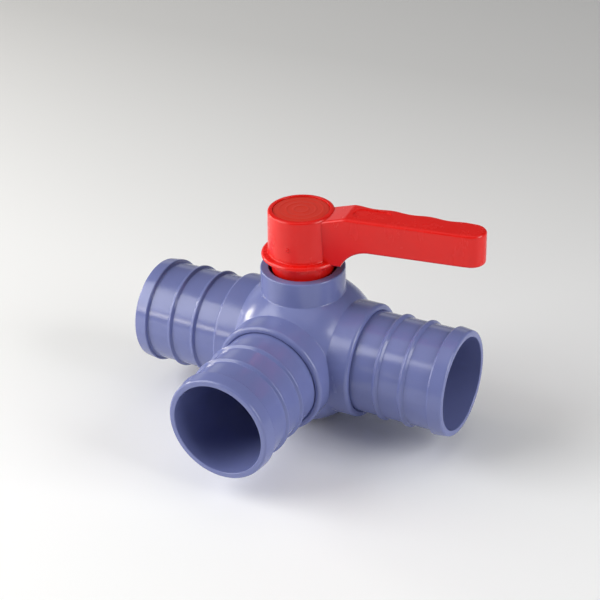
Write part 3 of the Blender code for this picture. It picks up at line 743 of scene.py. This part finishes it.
def grip_dip(reach):
    """How far the finger scallops cut into the lever's left edge."""
    along = reach - GRIP_FIRST_CREST
    if not 0 < along < GRIP_COUNT * GRIP_PITCH:
        return 0
    return GRIP_DEPTH * (1 - cos(2 * pi * along / GRIP_PITCH)) / 2


def lever_plan(stations):
    """Outline from above: out along the straight edge, round the tip and back past the scallops."""
    tip = LEVER_TIP_HALF_WIDTH
    straight = [(reach, -half_width(reach)) for reach in stations]
    scalloped = [(reach, half_width(reach) - grip_dip(reach)) for reach in reversed(stations)]
    end = arc((LEVER_REACH - tip, 0), tip, -pi / 2, pi / 2, LEVER_TIP_STEPS)
    return straight + end + scalloped


def lever_underside():
    """Foot on the flange, hollow behind it, then level to the tip."""
    foot = FLANGE_BOTTOM + FOOT_LIFT
    centre = (FOOT_ARC_AT, LEVER_BOTTOM - FOOT_ARC)
    foot_angle = pi - asin((foot - centre[1]) / FOOT_ARC)
    hollow = arc(centre, FOOT_ARC, foot_angle, pi / 2, FOOT_ARC_STEPS)
    return [(0, foot)] + hollow + [(LEVER_REACH, LEVER_BOTTOM)]


def lever_back():
    """Ramp up from the hub, a rounded crest, then level to the tip."""
    return rounded([(0, LEVER_RAMP_LOW, 0), (LEVER_RAMP_START, LEVER_RAMP_LOW, 0),
                    (LEVER_CREST, LEVER_TOP, LEVER_CREST_ROUNDING), (LEVER_REACH, LEVER_TOP, 0)],
                   closed=False)


def height_at(line, reach):
    """Height of a line of (reach, height) points at one place along it."""
    for (before, low), (after, high) in zip(line, line[1:]):
        if before <= reach <= after:
            return low + (high - low) * (reach - before) / (after - before)
    return line[-1][1]


def lever_stations(lines):
    """Places along the lever where its outlines bend, the scallops' own steps among them."""
    bends = [reach for line in lines for reach, _ in line]
    bends += [GRIP_FIRST_CREST + GRIP_COUNT * GRIP_PITCH * i / GRIP_STEPS
              for i in range(GRIP_STEPS + 1)]
    stations = [LEVER_BURIED]
    for reach in sorted(bends):
        if stations[-1] + LEVER_STATION_GAP < reach < LEVER_REACH - LEVER_TIP_HALF_WIDTH:
            stations.append(reach)
    return stations


def inset(outline, distance):
    """Move an open outline to its left."""
    moved = []
    for i, (x, y) in enumerate(outline):
        before = Vector(outline[max(i - 1, 0)])
        after = Vector(outline[min(i + 1, len(outline) - 1)])
        along = (after - before).normalized()
        moved.append((x - along.y * distance, y + along.x * distance))
    return moved


def lever_bar():
    """Rings of the outline from above, drawn in where they near the rounded edges."""
    under, back = lever_underside(), lever_back()
    outline = lever_plan(lever_stations((under, back)))
    quarter = [pi / 2 * i / LEVER_EDGE_STEPS for i in range(LEVER_EDGE_STEPS + 1)]
    levels = [(under, 1, angle) for angle in quarter]
    levels += [(back, -1, angle) for angle in reversed(quarter)]
    shape = bmesh.new()
    rings = []
    for line, way, angle in levels:
        lift = way * LEVER_EDGE * (1 - cos(angle))
        rings.append([shape.verts.new((x, y, height_at(line, x) + lift))
                      for x, y in inset(outline, LEVER_EDGE * (1 - sin(angle)))])
    count = len(outline)
    for lower, upper in zip(rings, rings[1:]):
        for i in range(count - 1):
            shape.faces.new((lower[i], lower[i + 1], upper[i + 1], upper[i]))
    for ring in (rings[0], rings[-1]):
        for i in range(count // 2):
            corners = (ring[i], ring[i + 1], ring[count - 2 - i], ring[count - 1 - i])
            shape.faces.new(dict.fromkeys(corners))
    shape.faces.new([ring[0] for ring in rings] + [ring[-1] for ring in reversed(rings)])
    return finish_mesh("lever", shape)


def make_lever():
    """Bar with its root cut round, three pockets below and a shallow panel on top."""
    lever = lever_bar()
    top, bottom = LEVER_TOP + PAST, FLANGE_BOTTOM - PAST
    root = turned("lever_root", [(0, top), (LEVER_START, top), (LEVER_START, bottom), (0, bottom)],
                  closed=False)
    combine(lever, root, "DIFFERENCE")
    for start, end in LEVER_POCKETS:
        inside = half_width(end) - LEVER_WALL
        pocket = block("lever_pocket", (start, -inside, LEVER_BOTTOM - PAST),
                       (end, inside - GRIP_DEPTH / 2, LEVER_TOP - LEVER_WALL),
                       LEVER_POCKET_ROUNDING)
        combine(lever, pocket, "DIFFERENCE")
    start, end = LEVER_PANEL
    panel = block("lever_panel", (start, -LEVER_PANEL_HALF_WIDTH, LEVER_TOP - LEVER_PANEL_DEPTH),
                  (end, LEVER_PANEL_HALF_WIDTH, LEVER_TOP + PAST),
                  LEVER_PANEL_HALF_WIDTH - LEVER_PANEL_END)
    combine(lever, panel, "DIFFERENCE")
    return lever


def hub_profile():
    """Section of the hub: screw hole, well, cap seat, rim, flange, stepped skirt and its hollow."""
    return rounded([(SCREW_HOLE_RADIUS, WELL_FLOOR, 0.1 * MM), (WELL_RADIUS, WELL_FLOOR, 0.4 * MM),
                    (WELL_RADIUS, CAP_SEAT, 0.15 * MM), (CAP_SEAT_RADIUS, CAP_SEAT, 0.15 * MM),
                    (CAP_SEAT_RADIUS, HUB_TOP, 0.15 * MM), (HUB_RADIUS, HUB_TOP, HUB_RIM_ROUNDING),
                    (HUB_FOOT_RADIUS, FLANGE_TOP, FLANGE_FILLET),
                    (FLANGE_RADIUS, FLANGE_TOP, FLANGE_ROUNDING),
                    (FLANGE_RADIUS, FLANGE_BOTTOM, 0.3 * MM),
                    (SKIRT_RADIUS, FLANGE_BOTTOM, 0.3 * MM),
                    (SKIRT_RADIUS, SKIRT_STEP, 0.2 * MM), (SKIRT_FOOT_RADIUS, SKIRT_STEP, 0.2 * MM),
                    (SKIRT_FOOT_RADIUS, SKIRT_BOTTOM, 0.3 * MM),
                    (SKIRT_HOLLOW_RADIUS, SKIRT_BOTTOM, 0.3 * MM),
                    (SKIRT_HOLLOW_RADIUS, SKIRT_HOLLOW_TOP, 0.5 * MM),
                    (SCREW_HOLE_RADIUS, SKIRT_HOLLOW_TOP, 0.1 * MM)])


def make_gate_mark():
    """Small ring crater on the side of the hub, rooted in its wall."""
    face, root = HUB_FOOT_RADIUS, WELL_RADIUS + MM
    crest = face + GATE_MARK_RISE
    profile = [(0, face), (GATE_MARK_RADIUS / 3, face), (GATE_MARK_RADIUS / 2, crest),
               (GATE_MARK_RADIUS * 3 / 4, crest), (GATE_MARK_RADIUS, face),
               (GATE_MARK_RADIUS, root), (0, root)]
    mark = turned("gate_mark", profile, GATE_MARK_STEPS, closed=False)
    lay(mark, GATE_MARK_ANGLE)
    mark.matrix_world = Matrix.Translation((0, 0, GATE_MARK_HEIGHT)) @ mark.matrix_world
    return mark


def make_handle():
    """Hub, lever, gate mark and stop lug in one moulding, with a square socket for the stem."""
    handle = turned("handle_moulding", hub_profile())
    combine(handle, make_lever(), "UNION")
    combine(handle, make_gate_mark(), "UNION")
    lug = ring_sector("stop_lug", SKIRT_FOOT_RADIUS - 3 * FIT_GAP, NECK_BORE_RADIUS - FIT_GAP * 1.5,
                      STOP_LUG, STOP_BOTTOM, SKIRT_STEP + FIT_GAP)
    combine(handle, lug, "UNION")
    half = STEM_SQUARE / 2 + FIT_GAP
    socket = block("socket", (-half, -half, SKIRT_BOTTOM), (half, half, STEM_TOP + FIT_GAP),
                   STEM_SQUARE_ROUNDING)
    combine(handle, socket, "DIFFERENCE")
    weld(handle.data)
    on_stem(handle, "handle", handle_paint)


def make_washer():
    bottom = WELL_FLOOR + FIT_GAP
    profile = washer_profile(SCREW_HOLE_RADIUS, WASHER_RADIUS, bottom, bottom + WASHER_THICKNESS,
                             0.12 * MM)
    washer = turned("washer_ring", profile, SMALL_STEPS)
    on_stem(washer, "handle_washer", steel_paint)


def make_screw():
    """Pan-head screw with a cross recess and a ridged shank."""
    head_bottom = WELL_FLOOR + 2 * FIT_GAP + WASHER_THICKNESS
    head_top = head_bottom + SCREW_HEAD_HEIGHT
    shank = SCREW_HOLE_RADIUS - FIT_GAP
    profile = rounded([(0, head_top, 0), (SCREW_HEAD_RADIUS, head_top, SCREW_HEAD_ROUNDING),
                       (SCREW_HEAD_RADIUS, head_bottom, 0.15 * MM), (shank, head_bottom, 0)],
                      closed=False, steps=5)
    tip_top = SCREW_END + shank
    turns = int((head_bottom - tip_top) / THREAD_PITCH)
    for i in range(turns):
        top = head_bottom - i * THREAD_PITCH
        profile += [(shank, top - THREAD_CREST * THREAD_PITCH),
                    (shank - THREAD_DEPTH, top - THREAD_ROOT * THREAD_PITCH)]
    profile += [(shank, tip_top), (0, SCREW_END)]
    screw = turned("screw_body", profile, SMALL_STEPS, closed=False)
    for half_x, half_y in ((CROSS_HALF_LENGTH, CROSS_HALF_WIDTH),
                           (CROSS_HALF_WIDTH, CROSS_HALF_LENGTH)):
        cutter = block("cross", (-half_x, -half_y, head_top - CROSS_DEPTH),
                       (half_x, half_y, head_top + PAST))
        combine(screw, cutter, "DIFFERENCE")
    on_stem(screw, "handle_screw", steel_paint)


def make_cap():
    """Disc over the screw, with plain raised rings on top and a clip ring below."""
    clip_outer = WELL_RADIUS - FIT_GAP
    clip_inner = clip_outer - CAP_CLIP_WALL
    bottom = CAP_SEAT + FIT_GAP
    clip_bottom = bottom - CAP_CLIP_LENGTH
    radius = CAP_SEAT_RADIUS - CAP_GAP
    face = CAP_TOP - CAP_RING_RISE
    corners = [(0, face, 0)]
    for ring_at in CAP_RINGS:
        corners += [(ring_at - CAP_RING_FOOT, face, CAP_RING_ROUNDING),
                    (ring_at - CAP_RING_CREST, CAP_TOP, CAP_RING_ROUNDING),
                    (ring_at + CAP_RING_CREST, CAP_TOP, CAP_RING_ROUNDING),
                    (ring_at + CAP_RING_FOOT, face, CAP_RING_ROUNDING)]
    corners += [(radius, face, 0.35 * MM), (radius, bottom, 0.1 * MM),
                (clip_outer, bottom, 0.1 * MM), (clip_outer, clip_bottom, 0.3 * MM),
                (clip_inner, clip_bottom, 0.2 * MM),
                (clip_inner, bottom, 0.3 * MM), (0, bottom, 0)]
    cap = turned("cap_disc", rounded(corners, closed=False, steps=3), closed=False)
    on_stem(cap, "handle_cap", cap_paint)


# ---- floor, light and camera -------------------------------------------------------------------
FLOOR_HALF = 3.0
FLOOR_DROP = 0.02 * MM              # the floor lies this far under the valve
FLOOR_SHADE_FADE = 0.35                   # painted shade: the floor darkens from Y = 0 to this far back, where the light falls off
FLOOR_NEAR = ((0.915, 0.920, 0.925), (0.935, 0.940, 0.945))
# colour of the painted shade at the back of the floor, standing in for the light falling off
FLOOR_FAR_SHADE = (0.66, 0.66, 0.66)


def make_floor():
    """Pale table top with painted shade that makes it a little darker behind the valve, where the
    light falls off.
    """
    shape = bmesh.new()
    bmesh.ops.create_grid(shape, x_segments=2, y_segments=2, size=FLOOR_HALF)
    floor = finish_mesh("floor", shape)
    floor.location.z = -FLOOR_DROP
    paint = Paint("pale_floor", Roughness=0.55)
    axes = paint.node("SeparateXYZ")
    paint.link(paint.place, axes.inputs["Vector"])
    painted_shade_mask = paint.remap(axes.outputs["Y"], 0.0, FLOOR_SHADE_FADE, 0, 1)
    near = paint.mix(paint.spread(paint.noise(0.4, 1.0), 0, 1), *FLOOR_NEAR)
    # painted shade: the floor's colour darkens towards the back, in place of the light falling off
    # there
    paint.drive("Base Color", paint.mix(painted_shade_mask, near, FLOOR_FAR_SHADE))
    floor.data.materials.append(paint.material)


def away(azimuth, elevation):
    """Direction from the valve to a place seen round it: 0 is in front, 90 to the right."""
    return Vector((sin(azimuth) * cos(elevation), -cos(azimuth) * cos(elevation), sin(elevation)))


# The places, powers and colours of the lights were set by comparing renders with the photograph.
LIGHT_DISTANCE = 0.9
WORLD_STRENGTH = 0.10
WHITE = (1.0, 1.0, 1.0)
WARM = (1.0, 0.94, 0.82)
SOFT_BOXES = {                      # azimuth, elevation in degrees, width, height, watts, colour
    "left_box": (305, 37, 0.70, 0.62, 6.2, WHITE),
    "window_strip": (301, 12.5, 1.25, 0.13, 3.8, WARM),
    "left_lamp": (267, 14, 0.15, 0.19, 1.4, WARM),
    "right_box": (90, 24, 0.45, 0.60, 5.1, WHITE),
    "ceiling": (0, 88, 0.80, 0.80, 1.4, WHITE),
    "back_wall": (218, 12, 1.10, 0.26, 0.50, WHITE),
}


def make_lights():
    """A soft box on either side and weaker lights round about, all facing the valve."""
    world = bpy.data.worlds.new("studio")
    bpy.context.scene.world = world
    world.use_nodes = True
    background = world.node_tree.nodes["Background"]
    background.inputs["Color"].default_value = (*WHITE, 1.0)
    background.inputs["Strength"].default_value = WORLD_STRENGTH
    for name, (azimuth, elevation, width, height, power, colour) in SOFT_BOXES.items():
        direction = away(radians(azimuth), radians(elevation))
        data = bpy.data.lights.new(name, "AREA")
        data.shape = "RECTANGLE"
        data.size = width
        data.size_y = height
        data.energy = power
        data.color = colour
        lamp = make_object(name, data)
        lamp.location = CENTRE + direction * LIGHT_DISTANCE
        lamp.rotation_euler = (-direction).to_track_quat("-Z", "Y").to_euler()


# The camera's angles, distance, aim and lens come from a numeric fit to round edges of the valve
# that were measured in the photograph.
CAMERA_AZIMUTH = radians(29.54)
CAMERA_ELEVATION = radians(29.643)
CAMERA_ROLL = radians(-1.926)
CAMERA_DISTANCE = 555.6 * MM
CAMERA_ASIDE = (-1.97 * MM, 15.86 * MM)     # from the valve's centre, across and up the view
CAMERA_LENS = 91.27
CAMERA_SENSOR = 36
CAMERA_CLIP_START = 0.01


def make_camera():
    back = away(CAMERA_AZIMUTH, CAMERA_ELEVATION)
    right = Vector((cos(CAMERA_AZIMUTH), sin(CAMERA_AZIMUTH), 0))
    up = back.cross(right)
    axes = Matrix((right, up, back)).transposed()
    turned_axes = axes @ Matrix.Rotation(CAMERA_ROLL, 3, "Z")
    data = bpy.data.cameras.new("camera")
    data.lens = CAMERA_LENS
    data.sensor_width = CAMERA_SENSOR
    data.clip_start = CAMERA_CLIP_START
    camera = make_object("camera", data)
    offset = turned_axes @ Vector((*CAMERA_ASIDE, CAMERA_DISTANCE))
    camera.matrix_world = Matrix.Translation(CENTRE + offset) @ turned_axes.to_4x4()
    bpy.context.scene.camera = camera


make_body()
make_tails()
make_seats()
make_thrust_washer()
make_ball()
make_stem()
make_handle()
make_washer()
make_screw()
make_cap()
make_floor()
make_lights()
make_camera()
bpy.context.scene.view_settings.view_transform = "Standard"
